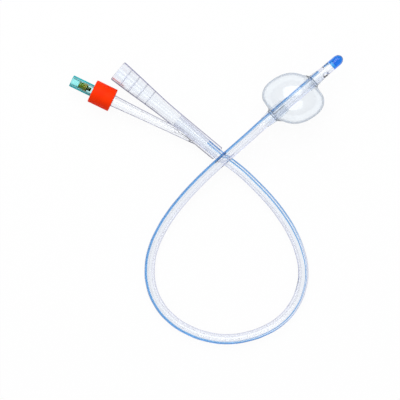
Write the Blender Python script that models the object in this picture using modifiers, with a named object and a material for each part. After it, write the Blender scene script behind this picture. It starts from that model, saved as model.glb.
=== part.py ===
"""Two-way silicone Foley catheter, size 16 French, lying on a flat surface with its balloon inflated.

Lengths are in millimetres and angles in degrees; the helpers turn them into metres and radians.
The floor is z = 0 and +Z is up. The drainage funnel points along -X, and the shaft leaves its
connector along +X, runs clockwise round a loop, passes over itself just past the connector and
ends in the balloon and the tip.
"""

import math

import bmesh
import bpy
from mathutils import Matrix, Vector

MM = 0.001
FIT = 0.05  # clearance between two pieces that are bonded or pressed together

# The shaft, and the two channels inside it
SHAFT_R = 5.33 / 2
DRAIN_R = 1.4
FILL_R = 0.35
FILL_OFF_AXIS = 2.02
FILL_FROM_STRIPE = 255
SHAFT_SIDES = 16
DRAIN_SIDES = 12
FILL_SIDES = 6
STEPS_PER_POINT = 2

# The coloured line laid into the shaft's wall
STRIPE_HALF_W = 0.9
STRIPE_DEPTH = 0.5
STRIPE_FIT = 0.04

# The connector, measured back from the end that the shaft leaves
TRUNK_R = 3.9
CONNECTOR_L = 67.1
MOUTH_OUTER_R = 5.75
MOUTH_BORE_R = 4.55
SHAFT_DEPTH = 27.1
FLARE_END = 4.7
FLARED_SHAFT = 1.25
FLARED_DRAIN = 1.6
RIB_PITCH = 5.45
RIB_COUNT = 4
RIB_H = 0.24
RIB_HALF_W = 0.3
ARM_APEX = 4.45
ARM_ANGLE = 13.9

# The funnel's side before its mouth: how far back from the trunk's end, and radius there
FUNNEL_SIDE = [(56.0, 5.25), (50.0, 4.85), (43.5, 4.45), (37.0, 4.12), (30.0, 3.98)]
TRUNK_FROM = 20.0

# The filling arm, its colour sleeve and its valve, measured out from where the two arms' axes meet
ARM_L = 65.8
ARM_END_R = 3.03
ARM_FROM = 2.0
ARM_SIDE = [(8.0, 1.95), (25.0, 2.2), (40.0, 2.5), (50.0, 2.8)]
ARM_START_R = 1.8
ARM_BORE_FROM = 19.0
ARM_BORE_START_R = 0.7
ARM_BORE_SIDE = [(35.0, 1.35)]
ARM_BORE_R = 1.75
SLEEVE_ON_ARM = 9.4
SLEEVE_L = 11.7
SLEEVE_R = 6.1
SLEEVE_CHAMFER = 0.5
VALVE_L = 14.1
VALVE_R = 3.08
LUER_R = 4.27 / 2
LUER_TAPER = 0.03
LUER_DEPTH = 4.2
CHAMBER_R = 2.5
THROAT_L = 2.7
BASE_FLANGE = 1.3
NIPPLE_L = 5.4
NIPPLE_R = 1.7
HEAD_L = 5.0
STEM_R = 1.0
PLUNGER_TRAVEL = 1.5

# The end with the balloon, measured from the balloon's middle towards the tip
BALLOON_R = 14.1
BALLOON_HALF_L = 13.4
BALLOON_POWER = 2.4
BALLOON_WALL = 0.4
BALLOON_LEAN = 0.8
BALLOON_SWAY = 2.0
LEAN_FROM_R = 3.8
LEAN_FULL_R = 7.8
NEAR_CUFF_START = -19.5
NEAR_CUFF_FULL = -15.2
NEAR_CUFF_END = -5.5
NEAR_CUFF_R = 3.4
FAR_CUFF_END = 9.6
FAR_CUFF_FULL = 16.2
FAR_CUFF_STOP = 18.6
FAR_CUFF_R = 3.15
TIP_FROM = 25.75
TIP_NOSE_FROM = 29.6
TIP_TO = 32.9
EYE_HALF_L = 1.75
EYE_HALF_W = 1.25
STRIPE_EYE_AT = 20.6
FAR_EYE_AT = 23.4

# What follows from those sizes along the filling arm
SLEEVE_FROM = ARM_L - SLEEVE_ON_ARM
SLEEVE_TO = SLEEVE_FROM + SLEEVE_L
VALVE_FROM = ARM_L + 4 * FIT
VALVE_TO = VALVE_FROM + VALVE_L
BASE_TOP = VALVE_FROM + BASE_FLANGE
NIPPLE_END = VALVE_FROM - NIPPLE_L

# How the object lies
OBJECT_MIDDLE = (0.43, -2.5)
LYING = SHAFT_R + 0.01
SLEEVE_BACK = ARM_APEX + SLEEVE_FROM * math.cos(math.radians(ARM_ANGLE))
CONNECTOR_DROP = math.degrees(math.asin((SLEEVE_R - TRUNK_R) / SLEEVE_BACK))
BALLOON_AT = (11.8, 46.5, BALLOON_R + 0.05)
BALLOON_HEADING = 80.2
BALLOON_RISE = 4.0

# The shaft's route over the surface: x, y, height of its middle, and how far its stripe is turned
# from straight up towards the left of the way it runs
ROUTE = [
    (5.5, 0.3, 3.7, 140),
    (15.0, 0.7, 3.35, 139),
    (25.0, 0.1, 3.0, 139),
    (36.0, -1.2, 2.75, 138),
    (46.5, -3.5, LYING, 138),
    (56.0, -6.8, LYING, 134),
    (65.0, -11.6, LYING, 129),
    (73.0, -18.3, LYING, 120),
    (78.3, -26.8, LYING, 108),
    (80.8, -36.2, LYING, 95),
    (80.5, -45.6, LYING, 83),
    (77.7, -54.3, LYING, 73),
    (72.7, -62.8, LYING, 66),
    (65.8, -70.4, LYING, 61),
    (57.1, -76.2, LYING, 58),
    (47.2, -79.9, LYING, 56),
    (36.6, -81.2, LYING, 55),
    (26.2, -79.4, LYING, 55),
    (17.1, -74.5, LYING, 55),
    (10.2, -67.3, LYING, 55),
    (5.6, -58.9, LYING, 55),
    (2.9, -49.5, 2.75, 55),
    (1.55, -39.8, 3.4, 55),
    (1.3, -30.0, 4.6, 55),
    (1.75, -20.3, 6.05, 56),
    (2.75, -10.5, 7.6, 58),
    (4.2, -0.5, 9.2, 60),
    (5.7, 9.0, 10.45, 62),
    (7.15, 18.2, 11.6, 64),
]
TURN_AT_CONNECTOR = 107
TURN_IN_CONNECTOR = 120
TURN_AT_FILL_START = 134
TURN_AT_MEETING = 136
TURN_AT_TRUNK = 140
TURN_AT_BALLOON = 65


# Scene and small tools

for thing in list(bpy.data.objects):
    bpy.data.objects.remove(thing)

parts = bpy.data.collections.new("foley_catheter")
cutters = bpy.data.collections.new("cutters")
bpy.context.scene.collection.children.link(parts)
bpy.context.scene.collection.children.link(cutters)
cutters.hide_render = True


def material(name, colour, roughness, alpha=1.0):
    made = bpy.data.materials.new(name)
    made.use_nodes = True
    shader = made.node_tree.nodes["Principled BSDF"]
    shader.inputs["Base Color"].default_value = (*colour, 1.0)
    shader.inputs["Roughness"].default_value = roughness
    shader.inputs["Metallic"].default_value = 0.0
    shader.inputs["Alpha"].default_value = alpha
    return made


def add(name, data, collection, parent=None):
    thing = bpy.data.objects.new(name, data)
    collection.objects.link(thing)
    thing.parent = parent
    if collection is cutters:
        thing.hide_render = True
        thing.display_type = "WIRE"
    return thing


def frame(name, at, turn, parent=None):
    """An empty that sets an axis: its +X is the way that the pieces on it point."""
    empty = add(name, None, parts, parent)
    empty.location = Vector(at) * MM
    empty.rotation_euler = [math.radians(angle) for angle in turn]
    return empty


def turned(name, profile, sides, collection, parent, at_angle=0):
    """A solid turned about its frame's X axis from a list of (along, radius).

    The list runs towards +X along the outside and back along the inside, or starts and ends on
    the axis. A list that touches the axis nowhere is closed into a ring."""
    mesh = bpy.data.meshes.new(name)
    points = [(along * MM, radius * MM, 0) for along, radius in profile]
    edges = [(i, i + 1) for i in range(len(points) - 1)]
    if profile[0][1] > 0:
        edges.append((len(points) - 1, 0))
    mesh.from_pydata(points, edges, [])
    thing = add(name, mesh, collection, parent)
    thing.rotation_euler.x = math.radians(at_angle)
    screw = thing.modifiers.new("Turn", "SCREW")
    screw.axis = "X"
    screw.steps = sides
    screw.render_steps = sides
    screw.use_merge_vertices = True
    screw.merge_threshold = 0.000005
    screw.use_normal_flip = True
    return thing


def rod(name, start, end, radius, sides, parent):
    """A round bar between two points of a frame."""
    axis = (Vector(end) - Vector(start)) * MM
    mesh = bpy.data.meshes.new(name)
    shape = bmesh.new()
    bmesh.ops.create_cone(
        shape,
        cap_ends=True,
        segments=sides,
        radius1=radius * MM,
        radius2=radius * MM,
        depth=axis.length,
        matrix=Matrix.Translation((0, 0, axis.length / 2)),
    )
    shape.to_mesh(mesh)
    shape.free()
    thing = add(name, mesh, cutters, parent)
    thing.location = Vector(start) * MM
    thing.rotation_euler = axis.to_track_quat("Z", "Y").to_euler()
    return thing


def section(name, points):
    """A closed flat outline for a sweep: +x is right of the way it runs and +y is up at turn 0."""
    curve = bpy.data.curves.new(name, "CURVE")
    curve.dimensions = "2D"
    spline = curve.splines.new("POLY")
    spline.points.add(len(points) - 1)
    for point, (x, y) in zip(spline.points, points):
        point.co = (x * MM, y * MM, 0, 1)
    spline.use_cyclic_u = True
    return add(name, curve, cutters)


def circle_points(radius, sides, centre=(0, 0)):
    steps = [2 * math.pi * i / sides for i in range(sides)]
    return [(centre[0] + radius * math.sin(a), centre[1] + radius * math.cos(a)) for a in steps]


def swept(name, outline, stations, collection):
    """A closed mesh swept along stations of (x, y, z, turn of the stripe, scale of the outline)."""
    curve = bpy.data.curves.new(name, "CURVE")
    curve.dimensions = "3D"
    curve.twist_mode = "Z_UP"
    curve.resolution_u = STEPS_PER_POINT
    curve.bevel_mode = "OBJECT"
    curve.bevel_object = outline
    curve.use_fill_caps = True
    spline = curve.splines.new("BEZIER")
    spline.bezier_points.add(len(stations) - 1)
    for point, (x, y, z, turn, scale) in zip(spline.bezier_points, stations):
        point.co = Vector((x - OBJECT_MIDDLE[0], y - OBJECT_MIDDLE[1], z)) * MM
        point.handle_left_type = "AUTO"
        point.handle_right_type = "AUTO"
        point.tilt = math.radians(-turn)
        point.radius = scale
    guide = add(name + "_guide", curve, cutters)
    bpy.context.view_layer.update()
    graph = bpy.context.evaluated_depsgraph_get()
    mesh = bpy.data.meshes.new_from_object(guide.evaluated_get(graph))
    mesh.name = name
    bpy.data.objects.remove(guide)
    shape = bmesh.new()
    shape.from_mesh(mesh)
    bmesh.ops.remove_doubles(shape, verts=shape.verts, dist=0.000002)
    bmesh.ops.recalc_face_normals(shape, faces=shape.faces)
    shape.to_mesh(mesh)
    shape.free()
    return add(name, mesh, collection)


def join(thing, other, operation="DIFFERENCE"):
    step = thing.modifiers.new(other.name, "BOOLEAN")
    step.operation = operation
    step.solver = "EXACT"
    step.object = other


def between(low, high, share):
    return low + (high - low) * share


# Frames

bench = frame("bench", (-OBJECT_MIDDLE[0], -OBJECT_MIDDLE[1], 0), (0, 0, 0))
connector_axis = frame("connector_axis", (0, 0, TRUNK_R), (0, CONNECTOR_DROP, 0), bench)
arm_axis = frame("arm_axis", (-ARM_APEX, 0, 0), (0, 0, 180 + ARM_ANGLE), connector_axis)
balloon_axis = frame("balloon_axis", BALLOON_AT, (0, -BALLOON_RISE, BALLOON_HEADING), bench)

clear_silicone = material("clear_silicone", (0.86, 0.89, 0.95), 0.25, 0.35)
blue_silicone = material("blue_silicone", (0.01, 0.16, 0.84), 0.35)
orange_silicone = material("orange_silicone", (0.93, 0.05, 0.01), 0.4)
teal_plastic = material("teal_plastic", (0.05, 0.50, 0.55), 0.2, 0.6)
olive_rubber = material("olive_rubber", (0.20, 0.21, 0.03), 0.45)


# The shaft and its stripe

def connector_point(back, turn, scale):
    """A station on the connector's axis, so far back from the end that the shaft leaves."""
    drop = math.radians(CONNECTOR_DROP)
    return (-back * math.cos(drop), 0, TRUNK_R + back * math.sin(drop), turn, scale)


def balloon_point(along):
    """A station on the balloon's axis, so far from its middle towards the tip."""
    heading = math.radians(BALLOON_HEADING)
    rise = math.radians(BALLOON_RISE)
    flat = along * math.cos(rise)
    return (
        BALLOON_AT[0] + flat * math.cos(heading),
        BALLOON_AT[1] + flat * math.sin(heading),
        BALLOON_AT[2] + along * math.sin(rise),
        TURN_AT_BALLOON,
        1,
    )


STRAIGHT_LEAD = 2.0  # how far the shaft stays straight beyond the connector and before the balloon
middle_stations = [
    connector_point(0, TURN_AT_TRUNK, 1),
    connector_point(-STRAIGHT_LEAD, TURN_AT_TRUNK, 1),
    *[(*point, 1) for point in ROUTE],
    balloon_point(NEAR_CUFF_START - STRAIGHT_LEAD),
    balloon_point(NEAR_CUFF_START),
]
FLARE_MIDDLE = 16.0
flare_share = (FLARE_MIDDLE - FLARE_END) / (SHAFT_DEPTH - FLARE_END)


def whole_route(flare, start, end):
    """Stations from a place in the connector to a place near the tip, widened in the connector."""
    return [
        connector_point(start, TURN_AT_CONNECTOR, between(1, flare, (start - FLARE_END) / (SHAFT_DEPTH - FLARE_END))),
        connector_point(FLARE_MIDDLE, TURN_IN_CONNECTOR, between(1, flare, flare_share)),
        connector_point(FLARE_END, TURN_AT_TRUNK, 1),
        *middle_stations,
        balloon_point(0),
        balloon_point(end),
    ]


notch_angle = math.degrees(math.asin(STRIPE_HALF_W / SHAFT_R))
shaft_outline = [(STRIPE_HALF_W, math.sqrt((SHAFT_R - STRIPE_DEPTH) ** 2 - STRIPE_HALF_W**2))]
for i in range(SHAFT_SIDES + 1):
    around = math.radians(between(notch_angle, 360 - notch_angle, i / SHAFT_SIDES))
    shaft_outline.append((SHAFT_R * math.sin(around), SHAFT_R * math.cos(around)))
shaft_outline.append((-STRIPE_HALF_W, shaft_outline[0][1]))

shaft = swept("shaft", section("shaft_outline", shaft_outline), whole_route(FLARED_SHAFT, SHAFT_DEPTH, TIP_FROM - FIT), parts)
shaft.data.materials.append(clear_silicone)

drain_outline = section("drain_outline", circle_points(DRAIN_R, DRAIN_SIDES))
drain_channel = swept("drain_channel", drain_outline, whole_route(FLARED_DRAIN, SHAFT_DEPTH + 1, TIP_FROM + 1), cutters)
join(shaft, drain_channel)

FILL_START = 7.5
FILL_STOP = 1.5
toward_fill = math.radians(FILL_FROM_STRIPE)
fill_centre = (FILL_OFF_AXIS * math.sin(toward_fill), FILL_OFF_AXIS * math.cos(toward_fill))
fill_outline = section("fill_outline", circle_points(FILL_R, FILL_SIDES, fill_centre))
fill_stations = [
    connector_point(FILL_START, TURN_AT_FILL_START, 1.03),
    connector_point(FLARE_END, TURN_AT_TRUNK, 1),
    *middle_stations,
    balloon_point(FILL_STOP),
]
fill_channel = swept("fill_channel", fill_outline, fill_stations, cutters)
join(shaft, fill_channel)

# The hole that lets water from the filling channel into the balloon
fill_turn = math.radians(FILL_FROM_STRIPE - TURN_AT_BALLOON)
outward = Vector((0, -math.sin(fill_turn), math.cos(fill_turn)))
fill_hole = rod("balloon_fill_hole", outward * (FILL_OFF_AXIS - 0.1), outward * (SHAFT_R + 1), 0.45, 8, balloon_axis)
join(shaft, fill_hole)


# The two drainage eyes, one through the stripe and one on the far side

def eye(name, along, turn):
    mesh = bpy.data.meshes.new(name)
    shape = bmesh.new()
    bmesh.ops.create_cone(
        shape,
        cap_ends=True,
        segments=14,
        radius1=MM,
        radius2=MM,
        depth=3 * MM,
        matrix=Matrix.Translation((0, 0, (DRAIN_R * 0.4 + 1.5) * MM)),
    )
    shape.to_mesh(mesh)
    shape.free()
    thing = add(name, mesh, cutters, balloon_axis)
    thing.location.x = along * MM
    thing.rotation_euler.x = math.radians(turn)
    thing.scale = (EYE_HALF_L, EYE_HALF_W, 1)
    return thing


near_eye = eye("eye_through_stripe", STRIPE_EYE_AT, TURN_AT_BALLOON)
far_eye = eye("eye_opposite", FAR_EYE_AT, TURN_AT_BALLOON + 180)
join(shaft, near_eye)
join(shaft, far_eye)


def stripe_outline():
    half = STRIPE_HALF_W - STRIPE_FIT
    top = math.sqrt(SHAFT_R**2 - half**2)
    bottom = shaft_outline[0][1] + STRIPE_FIT
    return [(half, bottom), (half, top), (0, SHAFT_R), (-half, top), (-half, bottom)]


stripe_section = section("stripe_outline", stripe_outline())
EYE_CLEAR = EYE_HALF_L + STRIPE_FIT
stripe = swept("radiopaque_stripe", stripe_section, whole_route(FLARED_SHAFT, SHAFT_DEPTH, STRIPE_EYE_AT - EYE_CLEAR), parts)
stripe.data.materials.append(blue_silicone)
end_stations = [balloon_point(STRIPE_EYE_AT + EYE_CLEAR), balloon_point(TIP_FROM - FIT)]
stripe_end = swept("radiopaque_stripe_end", stripe_section, end_stations, parts)
stripe_end.data.materials.append(blue_silicone)


# The rounded tip, with the end of the drainage channel inside it

TIP_BORE_R = 1.3
TIP_BORE_L = 2.2
nose_l = TIP_TO - TIP_NOSE_FROM
tip_profile = [(TIP_FROM + TIP_BORE_L, 0)]
for i in range(1, 4):
    around = math.radians(90 * i / 3)
    tip_profile.append((TIP_FROM + TIP_BORE_L - TIP_BORE_R * (1 - math.cos(around)) * 0.8, TIP_BORE_R * math.sin(around)))
tip_profile.append((TIP_FROM, TIP_BORE_R))
tip_profile.append((TIP_FROM, SHAFT_R))
for i in range(7):
    around = math.radians(90 * i / 6)
    tip_profile.append((TIP_NOSE_FROM + nose_l * math.sin(around), SHAFT_R * math.cos(around)))
tip_profile[-1] = (TIP_TO, 0)
tip = turned("tip", tip_profile, 20, parts, balloon_axis)
tip.data.materials.append(blue_silicone)


# The balloon: a thin shell between two cuffs bonded to the shaft

def balloon_radius(along, half_l, radius):
    share = min(abs(along) / half_l, 1)
    return radius * (1 - share**BALLOON_POWER) ** (1 / BALLOON_POWER)


def balloon_side(half_l, radius, low_r, high_r, count=18):
    """Points over the balloon from the low side, where it has reached low_r, to the high side."""
    first = -half_l * (1 - (low_r / radius) ** BALLOON_POWER) ** (1 / BALLOON_POWER)
    last = half_l * (1 - (high_r / radius) ** BALLOON_POWER) ** (1 / BALLOON_POWER)
    start = math.asin(first / half_l)
    stop = math.asin(last / half_l)
    places = [half_l * math.sin(between(start, stop, i / count)) for i in range(count + 1)]
    return [(along, balloon_radius(along, half_l, radius)) for along in places]


def leaning(thing):
    """The balloon as it bulges: its left side back, its tip end to the right, its cuffs straight."""
    bpy.context.view_layer.update()
    graph = bpy.context.evaluated_depsgraph_get()
    mesh = bpy.data.meshes.new_from_object(thing.evaluated_get(graph))
    thing.modifiers.clear()
    thing.data = mesh
    for vertex in mesh.vertices:
        along, left, up = vertex.co
        share = (math.hypot(left, up) / MM - LEAN_FROM_R) / (LEAN_FULL_R - LEAN_FROM_R)
        share = min(max(share, 0), 1)
        share = share * share * (3 - 2 * share)
        vertex.co.x -= BALLOON_LEAN * share * left / BALLOON_R
        vertex.co.y -= BALLOON_SWAY * share * along / BALLOON_HALF_L


cuff_bore = SHAFT_R + FIT
inner_l = BALLOON_HALF_L - BALLOON_WALL
inner_r = BALLOON_R - BALLOON_WALL
balloon_profile = [
    (NEAR_CUFF_START, cuff_bore + 0.12),
    (NEAR_CUFF_FULL, NEAR_CUFF_R),
    *balloon_side(BALLOON_HALF_L, BALLOON_R, NEAR_CUFF_R + 0.4, FAR_CUFF_R + 0.4),
    (FAR_CUFF_FULL, FAR_CUFF_R),
    (FAR_CUFF_STOP, cuff_bore + 0.12),
    (FAR_CUFF_STOP, cuff_bore),
    (FAR_CUFF_END, cuff_bore),
    (FAR_CUFF_END, FAR_CUFF_R),
    *reversed(balloon_side(inner_l, inner_r, NEAR_CUFF_R + 0.2, FAR_CUFF_R + 0.2)),
    (NEAR_CUFF_END, NEAR_CUFF_R),
    (NEAR_CUFF_END, cuff_bore),
    (NEAR_CUFF_START, cuff_bore),
]
balloon = turned("balloon", balloon_profile, 28, parts, balloon_axis)
leaning(balloon)
balloon.data.materials.append(clear_silicone)


# The connector: drainage funnel, filling arm and trunk, moulded as one

funnel_outside = [
    (-CONNECTOR_L, 0),
    (-CONNECTOR_L, MOUTH_OUTER_R - 0.3),
    (-CONNECTOR_L + 0.3, MOUTH_OUTER_R),
    *[(-back, radius) for back, radius in FUNNEL_SIDE],
    (-TRUNK_FROM, TRUNK_R),
    (-0.7, TRUNK_R),
    (0, TRUNK_R - 0.5),
    (0, 0),
]
y_connector = turned("y_connector", funnel_outside, 28, parts, connector_axis)
y_connector.data.materials.append(clear_silicone)

arm_outside = [
    (ARM_FROM, 0),
    (ARM_FROM, ARM_START_R),
    *ARM_SIDE,
    (SLEEVE_FROM - 0.5, ARM_END_R),
    (ARM_L, ARM_END_R),
    (ARM_L, 0),
]
arm_solid = turned("arm_solid", arm_outside, 24, cutters, arm_axis, 3)
join(y_connector, arm_solid, "UNION")

flared_drain_r = DRAIN_R * FLARED_DRAIN
flared_seat_r = SHAFT_R * FLARED_SHAFT + FIT
mouth_slope = (MOUTH_BORE_R - flared_drain_r) / (CONNECTOR_L - SHAFT_DEPTH)


def bore_radius(back):
    return flared_drain_r + mouth_slope * (back - SHAFT_DEPTH)


funnel_bore = [(-CONNECTOR_L - 1, 0), (-CONNECTOR_L - 1, bore_radius(CONNECTOR_L + 1))]
for i in range(1, RIB_COUNT + 1):
    back = CONNECTOR_L - RIB_PITCH * i
    funnel_bore.append((-back - RIB_HALF_W, bore_radius(back + RIB_HALF_W)))
    funnel_bore.append((-back, bore_radius(back) - RIB_H))
    funnel_bore.append((-back + RIB_HALF_W, bore_radius(back - RIB_HALF_W)))
funnel_bore += [
    (-SHAFT_DEPTH - FIT, flared_drain_r),
    (-SHAFT_DEPTH - FIT, flared_seat_r),
    (-FLARE_MIDDLE, SHAFT_R * between(1, FLARED_SHAFT, flare_share) + FIT),
    (-FLARE_END, SHAFT_R + FIT),
    (1, SHAFT_R + FIT),
    (1, 0),
]
funnel_cutter = turned("funnel_cutter", funnel_bore, 26, cutters, connector_axis, 5)
join(y_connector, funnel_cutter)

NIPPLE_SEAT_FROM = NIPPLE_END - 0.4
arm_bore = [
    (ARM_BORE_FROM, 0),
    (ARM_BORE_FROM, ARM_BORE_START_R),
    *ARM_BORE_SIDE,
    (NIPPLE_SEAT_FROM, ARM_BORE_R),
    (NIPPLE_SEAT_FROM, NIPPLE_R + 0.15),
    (ARM_L + 1, NIPPLE_R + 0.15),
    (ARM_L + 1, 0),
]
arm_cutter = turned("arm_cutter", arm_bore, 16, cutters, arm_axis, 7)
join(y_connector, arm_cutter)

# The narrow way from the filling arm into the shaft's filling channel
meet_angle = math.radians(FILL_FROM_STRIPE - TURN_AT_MEETING)
meet = (-7.2, -FILL_OFF_AXIS * 1.02 * math.sin(meet_angle), FILL_OFF_AXIS * 1.02 * math.cos(meet_angle))
arm_turn = math.radians(ARM_ANGLE)
way_from = ARM_BORE_FROM + 1.0
way_start = (-ARM_APEX - way_from * math.cos(arm_turn), -way_from * math.sin(arm_turn), 0)
fill_way = rod("fill_way", way_start, meet, 0.38, 8, connector_axis)
join(y_connector, fill_way)
join(shaft, fill_way)


# The colour sleeve round the filling arm's end and the valve

sleeve_profile = [
    (SLEEVE_FROM, SLEEVE_R - SLEEVE_CHAMFER),
    (SLEEVE_FROM + SLEEVE_CHAMFER, SLEEVE_R),
    (SLEEVE_TO - SLEEVE_CHAMFER, SLEEVE_R),
    (SLEEVE_TO, SLEEVE_R - SLEEVE_CHAMFER),
    (SLEEVE_TO, VALVE_R + FIT),
    (VALVE_FROM - 0.1, VALVE_R + FIT),
    (VALVE_FROM - 0.1, ARM_END_R + FIT),
    (SLEEVE_FROM, ARM_END_R + FIT),
]
colour_sleeve = turned("colour_sleeve", sleeve_profile, 32, parts, arm_axis)
colour_sleeve.data.materials.append(orange_silicone)


# The valve: housing with its luer socket, base with its nipple, and the plunger between them

throat_r = LUER_R - LUER_TAPER * LUER_DEPTH
throat_end = VALVE_TO - LUER_DEPTH - THROAT_L
housing_profile = [
    (VALVE_FROM, VALVE_R),
    (VALVE_TO - 0.25, VALVE_R),
    (VALVE_TO, VALVE_R - 0.25),
    (VALVE_TO, LUER_R),
    (VALVE_TO - LUER_DEPTH, throat_r),
    (throat_end, throat_r),
    (throat_end, CHAMBER_R),
    (VALVE_FROM, CHAMBER_R),
]
valve_housing = turned("valve_housing", housing_profile, 28, parts, arm_axis)
valve_housing.data.materials.append(teal_plastic)

BASE_HOLE_R = 0.6
base_profile = [
    (NIPPLE_END, NIPPLE_R - 0.25),
    (NIPPLE_END + 0.8, NIPPLE_R),
    (NIPPLE_END + NIPPLE_L / 3, NIPPLE_R - 0.15),
    (NIPPLE_END + NIPPLE_L * 14 / 27, NIPPLE_R),
    (NIPPLE_END + NIPPLE_L * 2 / 3, NIPPLE_R - 0.15),
    (NIPPLE_END + NIPPLE_L * 23 / 27, NIPPLE_R),
    (VALVE_FROM + FIT, NIPPLE_R),
    (VALVE_FROM + FIT, CHAMBER_R - FIT),
    (BASE_TOP, CHAMBER_R - FIT),
    (BASE_TOP, BASE_HOLE_R),
    (NIPPLE_END, BASE_HOLE_R),
]
valve_base = turned("valve_base", base_profile, 24, parts, arm_axis)
valve_base.data.materials.append(teal_plastic)
flow_slot = rod("flow_slot", (BASE_TOP, 0, -2.0), (BASE_TOP, 0, 2.0), 0.35, 8, arm_axis)
join(valve_base, flow_slot)

HEAD_FRONT = VALVE_TO - LUER_DEPTH
HEAD_BACK = HEAD_FRONT - HEAD_L
head_r = throat_r - 0.06
flange_r = CHAMBER_R - 0.12
stem_end = BASE_TOP + PLUNGER_TRAVEL + 0.2
plunger_profile = [
    (stem_end, 0),
    (stem_end, STEM_R - 0.15),
    (stem_end + 0.15, STEM_R),
    (HEAD_BACK, STEM_R),
    (HEAD_BACK + 0.3, flange_r - 0.2),
    (HEAD_BACK + 0.5, flange_r),
    (throat_end - FIT, flange_r),
    (throat_end - FIT, head_r),
    (HEAD_FRONT - 0.3, head_r),
    (HEAD_FRONT, head_r - 0.3),
    (HEAD_FRONT, 0),
]
valve_plunger = turned("valve_plunger", plunger_profile, 24, parts, arm_axis)
valve_plunger.data.materials.append(olive_rubber)
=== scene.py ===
import math

import bmesh
import bpy
from mathutils import Matrix, Vector
from mathutils.geometry import interpolate_bezier


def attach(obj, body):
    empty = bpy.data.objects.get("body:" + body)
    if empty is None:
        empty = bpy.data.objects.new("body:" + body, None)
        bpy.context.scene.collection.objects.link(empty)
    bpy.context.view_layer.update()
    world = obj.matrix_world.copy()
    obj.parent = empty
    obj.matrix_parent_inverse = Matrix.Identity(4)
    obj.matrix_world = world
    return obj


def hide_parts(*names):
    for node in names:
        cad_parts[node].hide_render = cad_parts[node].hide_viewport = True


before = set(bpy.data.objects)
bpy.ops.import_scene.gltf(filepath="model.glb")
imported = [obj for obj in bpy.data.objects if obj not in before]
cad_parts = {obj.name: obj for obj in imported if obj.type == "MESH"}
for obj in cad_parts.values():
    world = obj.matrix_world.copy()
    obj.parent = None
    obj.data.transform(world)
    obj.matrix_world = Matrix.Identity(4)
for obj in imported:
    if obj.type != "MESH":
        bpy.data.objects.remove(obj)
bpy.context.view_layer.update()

# A two-way silicone urinary catheter, lying in a loop with its balloon inflated. Sizes are in
# millimetres and degrees. Along the catheter they are measured from the trunk's end, along the
# arm from where the two arms' axes meet, and near the tip from the balloon's middle.

MM = 0.001
FIT = 0.05
CUT_PAST = 1  # how far a cutter runs past the face that it opens
NEAR_WALL = 0.02  # how far from a wall a face's middle has to lie, to be told apart from it

# The tube, its two channels and the coloured line in its wall
SHAFT_R = 5.33 / 2
SHAFT_SIDES = 80
DRAIN_R = 1.4
DRAIN_SIDES = 56
FILL_R = 0.35
FILL_SIDES = 14
FILL_OFF_AXIS = 2.02
FILL_FROM_STRIPE = 255
FILL_STOP = 1.5
FILL_HOLE_R = 0.45
FILL_HOLE_FROM = FILL_OFF_AXIS - 0.1
FILL_HOLE_SIDES = 20
STRIPE_HALF_W = 0.86
STRIPE_BOTTOM = 2.01
STRIPE_GAP = 0.02
STRIPE_SIDES = 96
STRIPE_UNSEEN = 21  # stations at the connector's end where the photograph shows no line
EYE_HALF_L = 1.75
EYE_HALF_W = 1.25
EYE_BOTTOM = DRAIN_R * 0.4
EYE_CUT_H = 3.0
EYE_SIDES = 40
STRIPE_EYE_AT = 20.6
FAR_EYE_AT = 23.4

# The connector
TRUNK_R = 3.9
CONNECTOR_L = 67.1
MOUTH_OUTER_R = 5.75
MOUTH_BORE_R = 4.55
MOUTH_RIM_L = 1.0
EDGE_R = 0.5
SHAFT_DEPTH = 27.1
FLARE_END = 4.7
FLARE_MIDDLE = 16.0
FLARED_SHAFT = 1.25
FLARED_DRAIN = 1.6
FUNNEL_SIDE = [(56.0, 5.25), (50.0, 4.85), (43.5, 4.45), (37.0, 4.12), (30.0, 3.98), (20.0, 3.9)]
FUNNEL_SIDES = 96
BORE_SIDES = 80
RIB_PITCH = 5.45
RIB_COUNT = 4
RIB_H = 0.24
RIB_HALF_W = 0.3
RIB_SIDES = 72  # with 80 or 90 sides the union with the connector loses a ring
BEAD_SIDES = 16
SEAT_MARGIN = 0.18  # past the tube's radius, to take in the wall that it sits in
SEAT_END = 0.5

# The filling arm, and the channel's way from the tube into it
ARM_APEX = 4.45
ARM_ANGLE = 13.9
ARM_L = 65.8
ARM_END_R = 3.03
ARM_SIDE = [(2.0, 1.8), (8.0, 1.95), (25.0, 2.2), (40.0, 2.5), (50.0, 2.8), (55.9, 3.03)]
ARM_SIDES = 72
ARM_BORE_SIDE = [(19.0, 0.7), (35.0, 1.35), (60.2, 1.75)]
ARM_BORE_SIDES = 40
ARM_BORE_CLEAR_FROM = 22
FILL_START = 7.5
FILL_START_FLARE = 1.03
MEETING_BACK = 7.2
MEETING_OFF_AXIS = FILL_OFF_AXIS * 1.02
WAY_FROM = 20.0
WAY_R = 0.38
WAY_SIDES = 16

# The sleeve and the valve
SLEEVE_FROM = 56.4
SLEEVE_TO = 68.1
SLEEVE_R = 6.1
SLEEVE_STEP = 9.5
VALVE_FROM = 66.0
VALVE_TO = 80.1
VALVE_R = 3.08
VALVE_EDGE = 0.25
LUER_R = 4.27 / 2
LUER_TAPER = 0.03
LUER_DEPTH = 4.2
CHAMBER_R = 2.5
THROAT_L = 2.7
BASE_TOP = 67.3
NIPPLE_END = 60.6
NIPPLE_R = 1.7
NIPPLE_NOSE = 0.25
NIPPLE_BORE_R = 0.6
NIPPLE_SEAT_R = NIPPLE_R + 0.15
NIPPLE_BARBS = [(61.4, 0), (62.4, 0.15), (63.4, 0), (64.2, 0.15), (65.2, 0)]  # place, depth
PLUNGER_TRAVEL = 1.5
STEM_R = 1.0
STEM_EDGE = 0.15
STEM_CLEAR = 0.2
HEAD_L = 5.0
HEAD_FIT = 0.06
HEAD_EDGE = 0.3
FLANGE_FIT = 0.12
FLANGE_BACK = [(0.3, 0.2), (0.5, 0)]  # past the head's back, in from the flange's rim
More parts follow.
